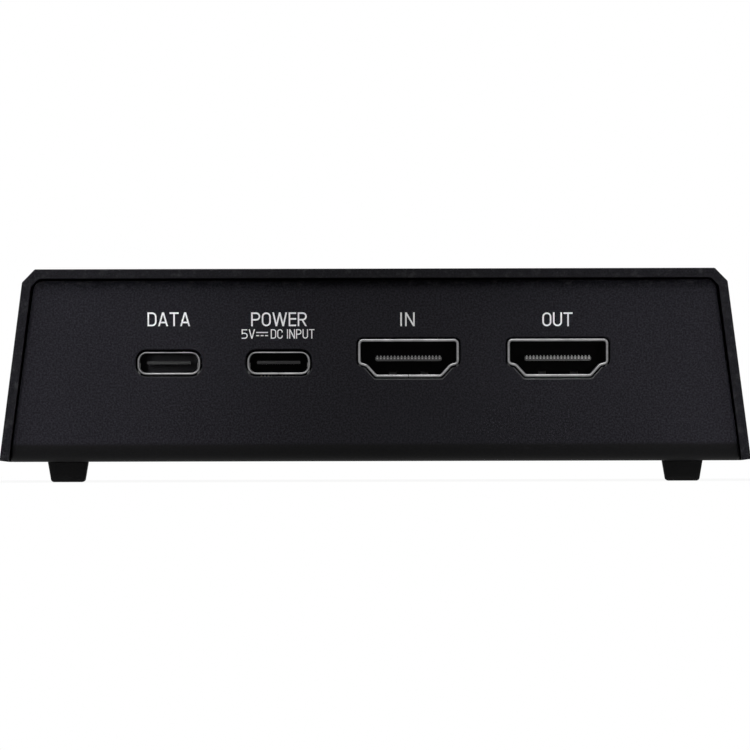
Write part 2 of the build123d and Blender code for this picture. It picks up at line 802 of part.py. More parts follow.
for name, middle_x in (("video_in_protection", video_in_x), ("video_out_protection", video_out_x)):
    flat_chip(name, (middle_x, protection_y), protection_width, protection_depth, protection_height)
receiver_y = chip_rear_y + receiver_width / 2
transmitter_y = chip_rear_y + transmitter_width / 2
flat_chip(
    "video_receiver_chip", (video_in_x, receiver_y), receiver_width, receiver_width, receiver_height
)
flat_chip(
    "video_transmitter_chip",
    (video_out_x, transmitter_y),
    transmitter_width,
    transmitter_width,
    transmitter_height,
)
bridge_y = small_tail_y + 2 * part_gap + bridge_width / 2
flat_chip("data_bridge_chip", (data_x, bridge_y), bridge_width, bridge_width, bridge_height)

# Power parts: a fuse and a surge diode behind the power socket, then the regulators with their inductors
fuse_y = small_tail_y + part_gap + fuse_depth / 2
fuse_x = power_x - (fuse_width + part_gap) / 2
diode_x = power_x + (diode_width + part_gap) / 2
flat_chip("input_fuse", (fuse_x, fuse_y), fuse_width, fuse_depth, fuse_height)
flat_chip("surge_diode", (diode_x, fuse_y), diode_width, diode_depth, diode_height)
inductor_x = processor_x - sink_edge_x - core_inductor_width / 2
core_inductor_y = processor_y
core_regulator_y = core_inductor_y - (core_inductor_width + regulator_width) / 2 - part_gap
io_inductor_y = core_inductor_y + (core_inductor_width + io_inductor_width) / 2 + part_gap
io_regulator_y = io_inductor_y + (io_inductor_width + regulator_width) / 2 + part_gap
flat_chip(
    "core_regulator", (inductor_x, core_regulator_y), regulator_width, regulator_width, regulator_height
)
flat_chip("io_regulator", (inductor_x, io_regulator_y), regulator_width, regulator_width, regulator_height)


def square_part(name, middle, width, depth, height, rounding):
    """Writes a square pressed part with rounded upright edges, such as an inductor."""
    with BuildPart() as block:
        with BuildSketch(Plane.XY.offset(board_top)):
            with Locations(middle):
                RectangleRounded(width, depth, rounding)
        extrude(amount=height)
        chamfer(block.faces().sort_by(Axis.Z)[-1].edges(), chip_bevel_width)
    block.part.label = name
    export_step(block.part, f"parts/{name}.step")


square_part(
    "core_inductor",
    (inductor_x, core_inductor_y),
    core_inductor_width,
    core_inductor_width,
    core_inductor_height,
    inductor_corner_radius,
)
square_part(
    "io_inductor",
    (inductor_x, io_inductor_y),
    io_inductor_width,
    io_inductor_width,
    io_inductor_height,
    inductor_corner_radius,
)

# Bulk capacitors: round cans on square bases, left of the inductors
capacitor_x = inductor_x - (core_inductor_width + capacitor_base_width) / 2 - part_gap
capacitor_step = (capacitor_base_width + part_gap) / 2
for name, end in (("bulk_capacitor_rear", -1), ("bulk_capacitor_front", 1)):
    middle = (capacitor_x, processor_y + end * capacitor_step)
    with BuildPart() as capacitor:
        with BuildSketch(Plane.XY.offset(board_top)) as base:
            with Locations(middle):
                Rectangle(capacitor_base_width, capacitor_base_width)
            chamfer(base.vertices().group_by(Axis.Y)[0], capacitor_bevel_width)
        extrude(amount=capacitor_base_height)
        with BuildSketch(Plane.XY.offset(board_top + capacitor_base_height)):
            with Locations(middle):
                Circle(capacitor_radius)
        extrude(amount=capacitor_height - capacitor_base_height)
        fillet(capacitor.faces().sort_by(Axis.Z)[-1].edges(), capacitor_edge_radius)
    capacitor.part.label = name
    export_step(capacitor.part, f"parts/{name}.step")

# Flash chip and crystals
flash_x = capacitor_x
flash_y = processor_y + 2 * capacitor_step + (flash_depth + part_gap) / 2
flat_chip("flash_chip", (flash_x, flash_y), flash_width, flash_depth, flash_height)
processor_crystal_y = processor_y + sink_width / 2 + part_gap + crystal_depth / 2
receiver_crystal_x = video_in_x - (receiver_width + crystal_width) / 2 - part_gap / 2
crystal_places = {
    "processor_crystal": (processor_x + crystal_width, processor_crystal_y),
    "receiver_crystal": (receiver_crystal_x, receiver_y),
}
for name, middle in crystal_places.items():
    with BuildPart() as crystal:
        with BuildSketch(Plane.XY.offset(board_top)):
            with Locations(middle):
                Rectangle(crystal_width, crystal_depth)
        extrude(amount=crystal_height)
        with BuildSketch(Plane.XY.offset(board_top + crystal_height)):
            with Locations(middle):
                Rectangle(crystal_width - 2 * crystal_lid_inset, crystal_depth - 2 * crystal_lid_inset)
        extrude(amount=crystal_lid_height)
    crystal.part.label = name
    export_step(crystal.part, f"parts/{name}.step")

# Small passives: capacitors in a row at each side of the processor, resistors behind the video sockets
decoupling_x = processor_width / 2 + passive_row_gap + passive_width / 2
decoupling_count = math.floor(processor_width / passive_spacing)
with BuildPart() as decoupling_capacitors:
    with BuildSketch(Plane.XY.offset(board_top)):
        with Locations((processor_x, processor_y)):
            with GridLocations(2 * decoupling_x, passive_spacing, 2, decoupling_count):
                Rectangle(passive_width, passive_length)
    extrude(amount=passive_height)
decoupling_capacitors.part.label = "decoupling_capacitors"
export_step(decoupling_capacitors.part, "parts/decoupling_capacitors.step")

resistor_count = math.floor(protection_width / passive_spacing)
with BuildPart() as series_resistors:
    with BuildSketch(Plane.XY.offset(board_top)):
        with Locations((video_in_x, resistor_y), (video_out_x, resistor_y)):
            with GridLocations(passive_spacing, passive_spacing, resistor_count, 1):
                Rectangle(passive_width, passive_length)
    extrude(amount=passive_height)
series_resistors.part.label = "series_resistors"
export_step(series_resistors.part, "parts/series_resistors.step")

# Status light and its pipe, which ends flush with the front panel's face
light_y = board_front_y - light_depth / 2 - part_gap / 2
pipe_rear_y = light_y + light_depth / 2 + light_gap
with BuildPart() as status_light:
    with BuildSketch(Plane.XY.offset(board_top)):
        with Locations((0, light_y)):
            Rectangle(light_width, light_depth)
    extrude(amount=light_height)
status_light.part.label = "status_light"
export_step(status_light.part, "parts/status_light.step")

with BuildPart() as light_pipe:
    with BuildSketch(Plane.XZ.offset(-panel_y)):
        with Locations((0, window_z)):
            Rectangle(pipe_width, pipe_height)
    extrude(amount=panel_y - pipe_rear_y)
    with BuildSketch(Plane.XZ.offset(-panel_inside_y)):
        with Locations((0, window_z)):
            Rectangle(pipe_flange_width, pipe_flange_height)
    extrude(amount=pipe_flange_sheet)
light_pipe.part.label = "light_pipe"
export_step(light_pipe.part, "parts/light_pipe.step")
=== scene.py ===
import math

import bpy
import numpy as np
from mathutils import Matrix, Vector


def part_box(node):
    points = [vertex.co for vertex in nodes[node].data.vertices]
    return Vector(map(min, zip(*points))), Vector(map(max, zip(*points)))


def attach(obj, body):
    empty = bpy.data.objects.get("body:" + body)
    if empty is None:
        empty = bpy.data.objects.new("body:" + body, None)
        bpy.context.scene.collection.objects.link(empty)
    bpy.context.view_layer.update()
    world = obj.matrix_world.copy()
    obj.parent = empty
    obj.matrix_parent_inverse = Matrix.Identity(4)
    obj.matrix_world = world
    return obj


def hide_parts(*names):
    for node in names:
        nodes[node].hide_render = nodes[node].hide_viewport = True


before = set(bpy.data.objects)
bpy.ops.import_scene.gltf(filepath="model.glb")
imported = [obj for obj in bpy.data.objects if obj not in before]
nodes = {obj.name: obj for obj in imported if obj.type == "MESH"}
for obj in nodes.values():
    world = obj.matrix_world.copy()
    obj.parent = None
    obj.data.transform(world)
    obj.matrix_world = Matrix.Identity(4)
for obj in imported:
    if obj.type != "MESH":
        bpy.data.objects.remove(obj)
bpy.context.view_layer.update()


# Chassis: rear panel, floor and front panel bent from one steel sheet. Its fine matt black powder
# coat is a little lighter on the pinpoints of its grain, and worn faintly grey along the panels'
# upper bends. A painted highlight lies along the lower lips of the socket openings, and a painted
# shade over the bends down into the floor.
class Value:
    """A shader socket that can stand in an expression: each operator adds one Math node to its
    finish."""

    def __init__(self, finish, socket):
        self.finish = finish
        self.socket = socket

    def maths(self, operation, *terms):
        return self.finish.node("ShaderNodeMath", {"operation": operation}, dict(enumerate(terms)))

    def __add__(self, other):
        return self.maths("ADD", self, other)

    def __sub__(self, other):
        return self.maths("SUBTRACT", self, other)

    def __rsub__(self, other):
        return self.maths("SUBTRACT", other, self)

    def __mul__(self, other):
        return self.maths("MULTIPLY", self, other)

    def __lt__(self, other):
        return self.maths("LESS_THAN", self, other)

    def __abs__(self):
        return self.maths("ABSOLUTE", self)

    def at_most(self, other):
        return self.maths("MINIMUM", self, other)

    def at_least(self, other):
        return self.maths("MAXIMUM", self, other)

    def root(self):
        return self.maths("SQRT", self)

    def from_nearest(self, spacing):
        """The distance to the nearest whole multiple of the spacing."""
        return self.maths("PINGPONG", self, spacing / 2)

    def step(self, low, high):
        """0 below low, 1 above high and a smooth rise between them."""
        limits = {"From Min": low, "From Max": high}
        kind = {"interpolation_type": "SMOOTHSTEP"}
        return self.finish.node("ShaderNodeMapRange", kind, {"Value": self, **limits}, "Result")

    __radd__ = __add__
    __rmul__ = __mul__


class Finish:
    """A material with one shader. Its node method adds any node, and paint sets the shader's
    sockets."""

    def __init__(
        self,
        name,
        shader="ShaderNodeBsdfPrincipled",
        end="ShaderNodeOutputMaterial",
        store=bpy.data.materials,
    ):
        self.material = store.new(name)
        self.material.use_nodes = True
        self.tree = self.material.node_tree
        self.tree.nodes.clear()
        self.end = self.tree.nodes.new(end)
        self.shader = self.tree.nodes.new(shader)
        self.tree.links.new(self.shader.outputs[0], self.end.inputs["Surface"])

    def put(self, socket, value):
        if isinstance(value, Value):
            self.tree.links.new(value.socket, socket)
        else:
            socket.default_value = value

    def node(self, kind, settings=None, sockets=None, result=0):
        """Adds a node: its settings first, then its sockets by name or number, and returns one of
        its outputs."""
        node = self.tree.nodes.new(kind)
        for name, value in (settings or {}).items():
            setattr(node, name, value)
        for name, value in (sockets or {}).items():
            self.put(node.inputs[name], value)
        return Value(self, node.outputs[result])

    def paint(self, **sockets):
        for name, value in sockets.items():
            self.put(self.shader.inputs[name.replace("_", " ")], value)
        return self.material

    def place(self):
        return self.node("ShaderNodeTexCoord", result="Object")

    def axes(self):
        spread = self.node("ShaderNodeSeparateXYZ", {}, {0: self.place()})
        return [Value(self, output) for output in spread.socket.node.outputs]

    def noise(self, size, detail=2.0, rough=0.5, stretch=(1.0, 1.0, 1.0)):
        """Cloudy values about 0.5, whose clouds are about the given size in metres, longer where
        stretch is."""
        scale = [1 / (size * s) for s in stretch]
        moved = self.node("ShaderNodeMapping", {}, {"Vector": self.place(), "Scale": scale})
        settings = {"Vector": moved, "Scale": 1.0, "Detail": detail, "Roughness": rough}
        return self.node("ShaderNodeTexNoise", {}, settings, "Fac")

    def blend(self, share, first, second):
        """The first colour where share is 0 and the second where it is 1."""
        return self.node("ShaderNodeMix", {"data_type": "RGBA"}, {0: share, 6: first, 7: second}, 2)

    def bump(self, height, depth, strength):
        """A normal from a height of 0 to 1 that stands for the given depth in metres."""
        settings = {"Height": height, "Distance": depth, "Strength": strength}
        return self.node("ShaderNodeBump", {}, settings, "Normal")


def coat(name, tone, speckle, wear_and_highlight, shaded_below=0.0):
    """Powder coat. Colour = black to dark grey by cloud, grain and pinpoints, with a painted shade,
    dark and neutral, over the bends below a height, where the grain is smoother too. The function
    passed in, called on the finish, gives how much of the coat is rubbed away, and for the chassis
    also where a painted highlight lies."""
    finish = Finish(name)
    z = finish.axes()[2]
    cloud = finish.noise(0.02, 1)
    grain = finish.noise(0.00026, 3, 0.65)
    cells = {"Vector": finish.place(), "Scale": 1700.0}
    dots = finish.node("ShaderNodeTexVoronoi", {"feature": "F1"}, cells, "Distance")
    pinpoint = (0.30 - dots).step(0.0, 0.3) * grain.step(0.45, 0.7)
    share = cloud * 0.2 + grain.step(0.34, 0.68) * 0.5 + pinpoint * speckle
    dark = (0.0030 * tone, 0.0028 * tone, 0.0043 * tone, 1)
    light = (0.0290 * tone, 0.0281 * tone, 0.0350 * tone, 1)
    # Painted shade: dark and neutral over the bends down into the floor, below the given height.
    tint_mask = 1 - z.step(shaded_below - 0.0003, shaded_below + 0.0003)
    colour = finish.blend(share.at_most(1.0), dark, light)
    colour = finish.blend(tint_mask * 0.9, colour, (0.0044, 0.0044, 0.0045, 1))
    worn_and_lit = wear_and_highlight(finish).at_most(1.0)
    # For the chassis this pale grey also paints a highlight along the lower lips of the openings.
    colour = finish.blend(worn_and_lit, colour, (0.075, 0.075, 0.078, 1))
    rough = 0.72 - grain * 0.16 - worn_and_lit * 0.12
    relief = finish.bump((grain * 0.7 + pinpoint * 0.3) * (1 - tint_mask * 0.7), 0.00005, 0.6)
    return finish.paint(Base_Color=colour, Roughness=rough, Normal=relief, Specular_IOR_Level=0.09)


def patches(finish):
    """1 in patches that cover a third of the surface."""
    return finish.noise(0.0016, 3, 0.7).step(0.5, 0.72)


def panel_wear_and_lip_highlight(finish):
    """Worn in patches along the panels' upper bends, and a painted highlight, in the same pale grey,
    all along the lower lips of the four openings. A lip is where the distance d from an opening's
    outline is about 0.07 mm. A small opening is a box with corners of radius r, so d =
    |(max(|x| - a + r, 0), max(|z| - b + r, 0))| - r. Low on a video opening, d is the greater of the
    distances below its floor and beyond its slanted side, which leans by the angle t: x cos t - z sin t."""
    x, y, z = finish.axes()
    small_x = abs(x - middle_x["data"]).at_most(abs(x - middle_x["power"]))
    video_x = abs(x - middle_x["video_in"]).at_most(abs(x - middle_x["video_out"]))
    radius = small_radius + small_cut
    beside = (small_x - (small_width / 2 - small_radius)).at_least(0.0)
    above = (abs(z - small_floor_z - small_height / 2) - (small_height / 2 - small_radius)).at_least(0.0)
    small = (beside * beside + above * above).root() - radius
    rise = z - video_floor_z
    lean = math.atan2(video_width / 2 - step_inset - video_floor_width / 2, step_height)
    beyond = (video_x - video_floor_width / 2) * math.cos(lean) - rise * math.sin(lean)
    video = beyond.at_least(0 - rise) - video_cut
    # Painted highlight: a pale line along the lower lip of each opening, full on the video openings and
    # about a third as strong on the small ones.
    lip_middle, lip_fade = 0.00007, 0.00006
    small_half, small_top, video_half, video_top = 0.00004, 0.0006, 0.00005, 0.0011
    small_line = 1 - abs(small - lip_middle).step(small_half, small_half + lip_fade)
    video_line = 1 - abs(video - lip_middle).step(video_half, video_half + lip_fade)
    small_lip = small_line * (z < small_floor_z + small_top) * 0.35
    lip = (small_lip + video_line * (rise < video_top)) * (y < 0.0)
    bend_low, bend_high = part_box("chassis")[1].z - 0.0016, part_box("chassis")[1].z - 0.0004
    return z.step(bend_low, bend_high) * patches(finish) * 0.4 + lip


def dress(names, material):
    for name in names:
        nodes[name].data.materials.clear()
        nodes[name].data.materials.append(material)


sockets = ("data", "power", "video_in", "video_out")
middle_x = {name: (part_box(f"{name}_shell")[0].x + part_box(f"{name}_shell")[1].x) / 2 for name in sockets}
shell_wall, rim_flare = 0.00033, 0.00013
rim_width = shell_wall + rim_flare
small_cut, video_cut = rim_width + 0.00012, rim_width + 0.00018  # from a mouth to its opening
small_width, small_height, small_radius = 0.0084, 0.00275, 0.0010
video_width, video_height, video_floor_width = 0.01375, 0.00468, 0.00915
step_height, step_inset = 0.001475, 0.00097
small_floor_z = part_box("data_shell")[1].z - rim_width - small_height
video_floor_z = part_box("video_in_shell")[1].z - rim_width - video_height
bend_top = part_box("chassis")[0].z + 0.0025
dress(["chassis"], coat("panel powder coat", 0.97, 0.35, panel_wear_and_lip_highlight, bend_top))


# Standoffs and board screws: turned or headed from steel and plated with bright zinc, which clouds
# over unevenly. The standoffs are pressed into the floor.
def zinc():
    finish = Finish("bright zinc plate")
    cloud = finish.noise(0.004, 4, 0.6)
    scratch = finish.noise(0.0002, 2, 0.6, (1.0, 12.0, 1.0))
    tone = (cloud * 0.7 + scratch * 0.3).step(0.3, 0.7)
    colour = finish.blend(tone, (0.46, 0.46, 0.45, 1), (0.68, 0.68, 0.66, 1))
    relief = finish.bump(scratch, 0.000004, 0.4)
    return finish.paint(Base_Color=colour, Metallic=1.0, Roughness=0.24 + cloud * 0.2, Normal=relief)


dress(["board_standoffs", "board_screws"], zinc())


# Circuit board: copper tracks under a dark green resist on woven glass fibre. The four standoffs
# carry it, and every chip and socket is soldered to it.
def resist():
    """Tracks = the crests of a wave along x or of one along y, as coarse clouds choose, a fifth
    fainter inside the cells of a nearly even pattern."""
    finish = Finish("solder resist over tracks")
    cells = finish.node(
        "ShaderNodeTexVoronoi",
        {"feature": "DISTANCE_TO_EDGE"},
        {"Vector": finish.place(), "Scale": 260.0, "Randomness": 0.35},
        "Distance",
    )
    bands = {"Vector": finish.place(), "Scale": 330.0}
    along = finish.node("ShaderNodeTexWave", {"bands_direction": "X"}, bands, "Fac")
    across = finish.node("ShaderNodeTexWave", {"bands_direction": "Y"}, bands, "Fac")
    field = finish.noise(0.012, 1).step(0.47, 0.53)
    tracks = (along * field + across * (1 - field)).step(0.62, 0.74) * (1 - cells.step(0.02, 0.10) * 0.2)
    weave = finish.noise(0.0006, 2)
    ground = finish.blend(weave * 0.6, (0.0030, 0.0120, 0.0085, 1), (0.0060, 0.0210, 0.0150, 1))
    colour = finish.blend(tracks * 0.75, ground, (0.0110, 0.0500, 0.0330, 1))
    relief = finish.bump(tracks, 0.00003, 0.6)
    return finish.paint(Base_Color=colour, Roughness=0.30 + weave * 0.15, Normal=relief)


dress(["main_board"], resist())


# Chips and coils: silicon moulded into black resin, and wire pressed into grey ferrite powder. The
# mould leaves a fine even grain on both. All are soldered to the board.
def resin(name, tone):
    finish = Finish(name)
    grain = finish.noise(0.00022, 3, 0.65)
    cloud = finish.noise(0.003, 2)
    dark = (0.55 * tone, 0.55 * tone, 0.57 * tone, 1)
    light = (1.5 * tone, 1.5 * tone, 1.5 * tone, 1)
    colour = finish.blend((grain * 0.7 + cloud * 0.3).step(0.3, 0.7), dark, light)
    relief = finish.bump(grain, 0.00002, 0.5)
    return finish.paint(Base_Color=colour, Roughness=0.55 - grain * 0.15, Normal=relief)


chips = [name for name in nodes if name.endswith(("_chip", "_regulator", "_protection"))]
chips += ["capture_processor", "memory_chip_front", "memory_chip_rear", "surge_diode"]
dress(chips, resin("chip resin", 0.03))
dress(["core_inductor", "io_inductor"], resin("pressed ferrite", 0.11))


# Small passives and the fuse: fired ceramic bodies with a fine pale grain, the passives a
# millimetre long and the fuse three. They are soldered flat to the board by their ends.
def ceramic():
    finish = Finish("fired ceramic")
    grain = finish.noise(0.0002, 2)
    colour = finish.blend(grain, (0.30, 0.22, 0.15, 1), (0.52, 0.43, 0.32, 1))
    relief = finish.bump(grain, 0.00001, 0.5)
    return finish.paint(Base_Color=colour, Roughness=0.35 + grain * 0.2, Normal=relief)


dress(["decoupling_capacitors", "series_resistors", "input_fuse"], ceramic())


# Capacitor cans and crystal lids: thin drawn metal, the cans of aluminium and the lids of
# tin-plated steel, both with the fine upright lines of drawing.
def drawn(name, dark, light, roughness):
    finish = Finish(name)
    lines = finish.noise(0.00025, 2, 0.6, (1.0, 1.0, 14.0))
    cloud = finish.noise(0.003, 2)
    colour = finish.blend((lines * 0.5 + cloud * 0.5).step(0.3, 0.7), dark, light)
    relief = finish.bump(lines, 0.000006, 0.4)
    return finish.paint(Base_Color=colour, Metallic=1.0, Roughness=roughness + cloud * 0.12, Normal=relief)


dress(
    ["bulk_capacitor_front", "bulk_capacitor_rear"],
    drawn("drawn aluminium can", (0.60, 0.60, 0.61, 1), (0.80, 0.80, 0.81, 1), 0.22),
)
dress(
    ["processor_crystal", "receiver_crystal"],
    drawn("seam-welded lid", (0.55, 0.54, 0.51, 1), (0.74, 0.73, 0.70, 1), 0.25),
)


# Heat pad and heat sink: a soft grey-blue silicone pad, and a black anodised extrusion with fine
# die lines along its fins. The pad's own tack holds the sink on the processor.
def silicone():
    finish = Finish("heat pad silicone")
    grain = finish.noise(0.0005, 3)
    colour = finish.blend(grain, (0.30, 0.36, 0.42, 1), (0.42, 0.48, 0.54, 1))
    relief = finish.bump(grain, 0.00003, 0.4)
    return finish.paint(Base_Color=colour, Roughness=0.7 + grain * 0.15, Normal=relief)


def anodised():
    finish = Finish("black anodised aluminium")
    lines = finish.noise(0.00018, 2, 0.6, (1.0, 18.0, 1.0))
    cloud = finish.noise(0.004, 2)
    tone = (lines * 0.6 + cloud * 0.4).step(0.3, 0.7)
    colour = finish.blend(tone, (0.022, 0.022, 0.024, 1), (0.05, 0.05, 0.053, 1))
    relief = finish.bump(lines, 0.00001, 0.5)
    return finish.paint(Base_Color=colour, Metallic=0.55, Roughness=0.38 + cloud * 0.15, Normal=relief)


dress(["thermal_pad"], silicone())
dress(["heat_sink"], anodised())


# Socket insulators and contacts: black liquid-crystal plastic, a little greyer in the data socket
# and faintly streaked by its flow, moulded round thin spring contacts that are plated with gold
# over nickel.
def insulator_plastic(name, dark, light):
    finish = Finish(name)
    streak = finish.noise(0.0005, 3, 0.6, (1.0, 5.0, 1.0))
    colour = finish.blend(streak, dark, light)
    relief = finish.bump(streak, 0.00001, 0.5)
    rough = 0.6 + streak * 0.15
    return finish.paint(Base_Color=colour, Roughness=rough, Normal=relief, Specular_IOR_Level=0.1)


def gold():
    """Gold, darkened as a painted shade, on the springs, and a near-black painted shade on the feet,
    which lie below the floor of the small mouths."""
    finish = Finish("gold over nickel")
    z = finish.axes()[2]
    rub = finish.noise(0.0004, 3, 0.6, (1.0, 6.0, 1.0))
    spring = finish.blend(rub.step(0.3, 0.75), (0.24, 0.18, 0.09, 1), (0.34, 0.28, 0.17, 1))
    in_mouth = z.step(small_floor_z, small_floor_z + 0.0001)
    # Painted shade: the feet below the mouths' floor are near black, and the springs' gold is dark.
    colour = finish.blend(in_mouth, (0.05, 0.05, 0.052, 1), spring)
    relief = finish.bump(rub, 0.000003, 0.4)
    return finish.paint(Base_Color=colour, Metallic=1.0, Roughness=0.22 + rub * 0.15, Normal=relief)


dress(
    [f"{name}_insulator" for name in sockets if name != "data"],
    insulator_plastic("black socket plastic", (0.0006, 0.0006, 0.0006, 1), (0.0020, 0.0020, 0.0021, 1)),
)
dress(
    ["data_insulator"],
    insulator_plastic("data socket plastic", (0.013, 0.013, 0.014, 1), (0.023, 0.023, 0.025, 1)),
)
dress([f"{name}_contacts" for name in sockets], gold())


# Socket shells: each is bent from thin stainless strip round its insulator, closed by a seam under
# the middle, and its mouth is rolled outwards into a rounded bright rim. Four legs are soldered
# through the board.
def outline(corners, radii, points_each=9):
    """A closed line with rounded corners. A corner p whose sides leave along the unit vectors u and
    v, at the angle 2a to each other, gets the arc about p + r / sin(a) along u + v that starts at p
    + u r / tan(a)."""
    corners = np.array(corners, float)
    back = np.roll(corners, 1, 0) - corners
    onward = np.roll(corners, -1, 0) - corners
    back /= np.linalg.norm(back, axis=1)[:, None]
    onward /= np.linalg.norm(onward, axis=1)[:, None]
    cosine = np.sum(back * onward, 1)
    half = np.arccos(cosine) / 2
    radii = np.array(radii, float)
    middle = (back + onward) / np.linalg.norm(back + onward, axis=1)[:, None]
    centre = corners + middle * (radii / np.sin(half))[:, None]
    start = corners + back * (radii / np.tan(half))[:, None]
    finish = corners + onward * (radii / np.tan(half))[:, None]
    share = np.linspace(0, 1, points_each)[None, :, None]
    first, last = (start - centre)[:, None], (finish - centre)[:, None]
    turn = (np.pi - 2 * half)[:, None, None]
    arc = (np.sin((1 - share) * turn) * first + np.sin(share * turn) * last) / np.sin(turn)
    return (centre[:, None] + arc).reshape(-1, 2)


def skin(points, path_closed):
    """Vertices and quads of a grid of points, where rows follow a path and columns go round its
    section."""
    rows, columns = points.shape[:2]
    row = np.arange(rows if path_closed else rows - 1)[:, None]
    column = np.arange(columns)[None, :]
    turns = ((0, 0), (0, 1), (1, 1), (1, 0))
    ends = [((row + down) % rows) * columns + (column + across) % columns for down, across in turns]
    quads = np.stack(ends, -1).reshape(-1, 4)
    flat = points.reshape(-1, 3)
    a, b, c, d = (flat[quads[:, k]] for k in range(4))
    volume = np.sum(a * np.cross(b, c)) + np.sum(a * np.cross(c, d))
    faces = quads[:, ::-1] if volume < 0 else quads
    faces = faces.tolist()
    if not path_closed:
        first = list(range(columns))
        last = list(range((rows - 1) * columns, rows * columns))
        faces += [first, last[::-1]] if volume < 0 else [first[::-1], last]
    return flat, faces


crease = math.radians(35)


def piece(name, skins, material, replaced=None):
    """One object from several skins, riding on the box, smooth except where faces meet at more than
    the crease."""
    points = np.concatenate([flat for flat, faces in skins])
    starts = np.cumsum([0] + [len(flat) for flat, faces in skins[:-1]])
    faces = [[k + int(start) for k in face] for (flat, rows), start in zip(skins, starts) for face in rows]
    mesh = bpy.data.meshes.new(name)
    mesh.from_pydata(points.tolist(), [], faces)
    mesh.polygons.foreach_set("use_smooth", np.ones(len(mesh.polygons), bool))
    mesh.set_sharp_from_angle(angle=crease)
    mesh.materials.append(material)
    made = bpy.data.objects.new(name, mesh)
    bpy.context.scene.collection.objects.link(made)
    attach(made, "root")
    if replaced:
        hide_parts(replaced)


def stainless():
    finish = Finish("stainless shell")
    lines = finish.noise(0.00012, 3, 0.6, (6.0, 1.0, 1.0))
    cloud = finish.noise(0.0015, 3)
    tone = (lines * 0.5 + cloud * 0.5).step(0.3, 0.7)
    colour = finish.blend(tone, (0.15, 0.15, 0.152, 1), (0.27, 0.27, 0.273, 1))
    relief = finish.bump(lines, 0.000005, 0.5)
    return finish.paint(Base_Color=colour, Metallic=1.0, Roughness=0.26 + cloud * 0.14, Normal=relief)


steel = stainless()
rim_depth, rim_roll = 0.0008, 0.00028
seam_gap, leg_width = 0.00008, 0.0012


def swept_shell(line, thick, front_y, rear_y):
    """A section carried round the rim's outer line: it comes up the inner wall, goes over the
    rolled rim as half an ellipse, narrows to the wall as a smooth step 3t^2 - 2t^3, and runs back.
    The seam is left open. The thickness may differ from point to point of the line."""
    tangent = np.roll(line, -1, 0) - np.roll(line, 1, 0)
    normal = np.stack([tangent[:, 1], -tangent[:, 0]], 1) / np.linalg.norm(tangent, axis=1)[:, None]
    turn = np.linspace(0, np.pi, 13)
    bead_share = (1 + np.cos(turn)) / 2
    bead_y = front_y + rim_roll - rim_roll * np.sin(turn)
    flare = np.linspace(0, 1, 5)[1:]
    flare_out = -rim_flare * (3 * flare**2 - 2 * flare**3)
    flare_y = front_y + rim_roll + (rim_depth - rim_roll) * flare
    share = np.concatenate([[1.0], bead_share, 0 * flare, [0.0]])
    inward = np.concatenate([[0.0], 0 * turn, flare_out, [-rim_flare]])
    out = inward - share * np.broadcast_to(thick, len(line))[:, None]
    along = np.concatenate([[rear_y], bead_y, flare_y, [rear_y]])
    places = line[:, None, :] + normal[:, None, :] * out[..., None]
    depth = np.broadcast_to(along[None, :, None], (len(line), len(along), 1))
    return np.concatenate([places[..., :1], depth, places[..., 1:]], -1)


def with_seam(line):
    """The line opened at the middle of its floor: it starts half a seam's gap to one side and ends
    at the other."""
    low = line[:, 1].min()
    centre_x = (line[:, 0].min() + line[:, 0].max()) / 2
    start = np.array([[centre_x + seam_gap / 2, low]])
    end = np.array([[centre_x - seam_gap / 2, low]])
    return np.concatenate([start, line, end])


def bar(low, high):
    """An upright square bar between two corners, as a path of two rings."""
    (x0, y0, z0), (x1, y1, z1) = low, high
    ring = np.array([[x0, y0], [x1, y0], [x1, y1], [x0, y1]])
    rings = [np.concatenate([ring, np.full((4, 1), z)], 1) for z in (z0, z1)]
    return skin(np.array(rings), False)


def legs(name, line, leg_top):
    """The four solder legs, each a quarter of the shell's depth from one of its ends."""
    low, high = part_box(f"{name}_shell")
    left, right = line[:, 0].min() + rim_flare, line[:, 0].max() - rim_flare
    bars = []
    for x in (left, right - shell_wall):
        for share in (0.25, 0.75):
            y = low.y + share * (high.y - low.y)
            bars.append(bar((x, y - leg_width / 2, low.z), (x + shell_wall, y + leg_width / 2, leg_top)))
    return bars


def grown(corners, amount):
    """A polygon with every side moved outwards by the amount: corner + amount (n + m) / (1 + n.m),
    where n and m are the outward normals of the sides that meet there."""
    corners = np.array(corners, float)
    side = np.roll(corners, -1, 0) - corners
    after = np.stack([side[:, 1], -side[:, 0]], 1) / np.linalg.norm(side, axis=1)[:, None]
    before = np.roll(after, 1, 0)
    return corners + amount * (before + after) / (1 + np.sum(before * after, 1))[:, None]


small_rim, small_top_rim = 0.00038, 0.00024  # thinner along the top of the mouth
for name in ("data", "power"):
    low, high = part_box(f"{name}_shell")
    half = small_width / 2 + small_rim
    left, right = middle_x[name] - half, middle_x[name] + half
    inner_top = small_floor_z + small_height
    top, bottom = inner_top + small_top_rim, small_floor_z - small_rim
    corners = [(right, bottom), (right, top), (left, top), (left, bottom)]
    line = with_seam(outline(corners, [small_radius + small_rim] * 4))
    over = np.clip((line[:, 1] - inner_top + small_radius / 2) / (small_radius / 2), 0, 1)
    ring = swept_shell(line, small_rim + (small_top_rim - small_rim) * over, low.y, high.y)
    skins = [skin(ring, False)] + legs(name, line, small_floor_z + small_height / 2)
    piece(f"{name}_rolled_shell", skins, steel, f"{name}_shell")


# Video socket shells: the same, with the lower corners stepped in and slanted, and two springs
# pressed up out of the floor that grip the plug.
side_height, video_radius, step_radius = 0.00177, 0.00030, 0.00035
spring_spacing, spring_width, spring_sheet = 0.0046, 0.0011, 0.00022
spring_length, spring_height, spring_inset = 0.0044, 0.00042, 0.0006


